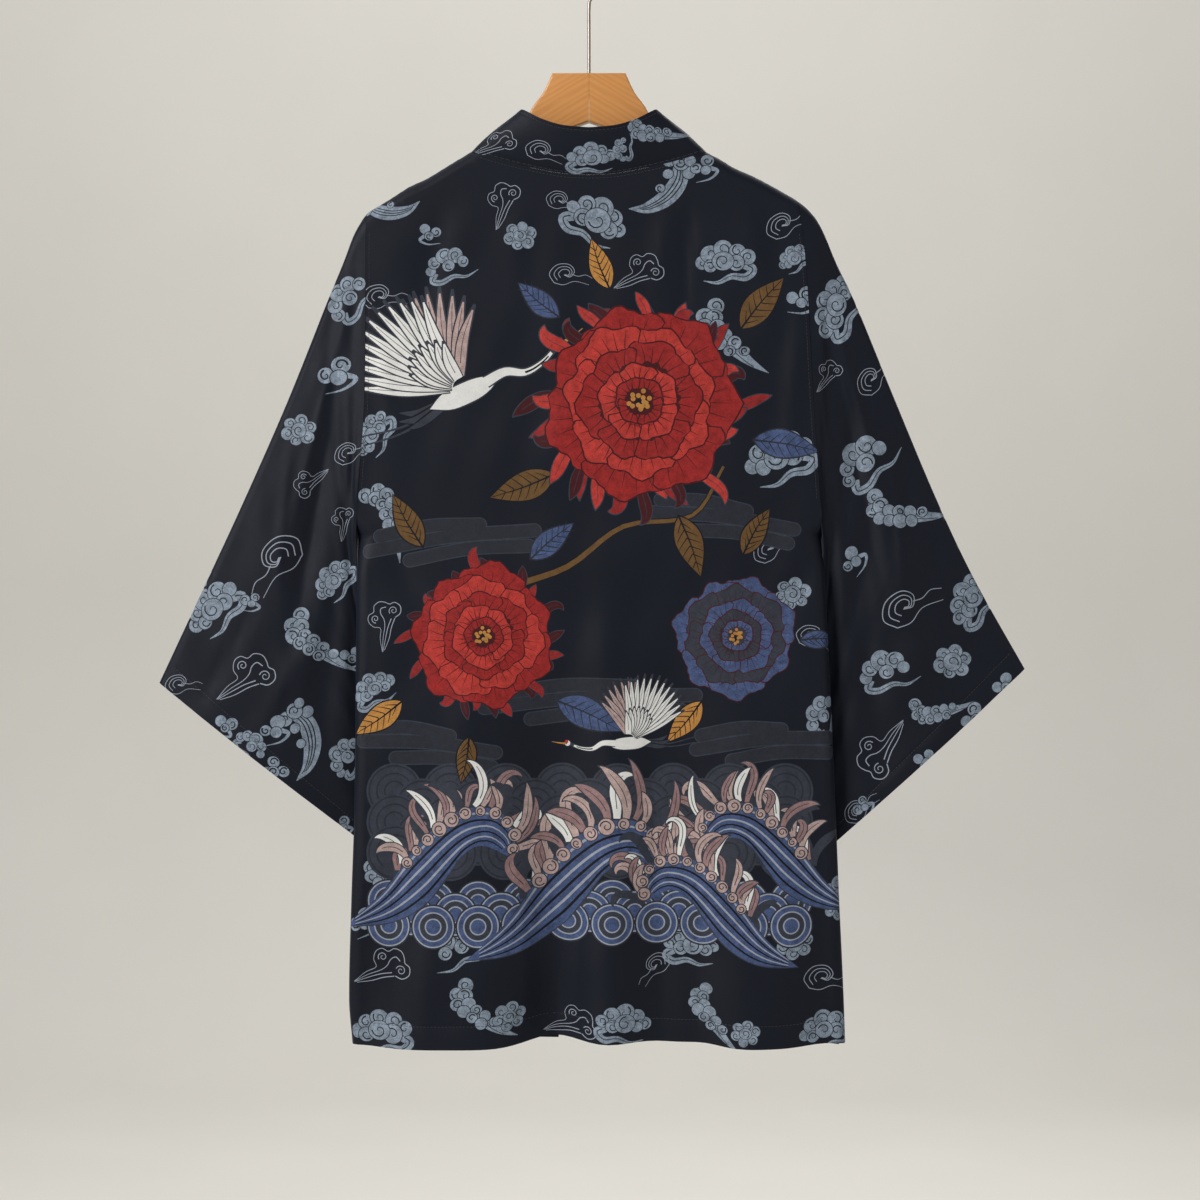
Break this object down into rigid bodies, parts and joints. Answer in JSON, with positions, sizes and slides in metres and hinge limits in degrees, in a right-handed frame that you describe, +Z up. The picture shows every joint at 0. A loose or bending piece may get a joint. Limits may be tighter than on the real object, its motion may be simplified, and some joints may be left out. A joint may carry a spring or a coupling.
{
  "type": "short kimono on a wooden hanger",
  "caption": "Short open-fronted kimono jacket with wide sleeves and a neckband, hanging on a wooden clothes hanger with a wire hook.",
  "frame": {"origin": "inside top of the hook's bow, where it rests on a rail or a nail", "axes": "+Z up, the back of the garment faces -Y and its open front faces +Y, the wearer's right sleeve points to +X"},
  "size_m": [0.783, 0.0677, 0.994],
  "materials": {
    "printed_cloth": "near-black navy satin weave with a blue-grey cloud print",
    "hanger_wood": "honey-orange varnished wood, two halves glued at the middle",
    "hook_wire": "drawn steel wire"
  },
  "bodies": {
    "root": {"back": "printed_cloth", "front_left": "printed_cloth", "front_right": "printed_cloth", "sleeve_left": "printed_cloth", "sleeve_right": "printed_cloth", "collar": "printed_cloth", "hanger_left": "hanger_wood", "hanger_right": "hanger_wood", "hook": "hook_wire"}
  },
  "joints": []
}
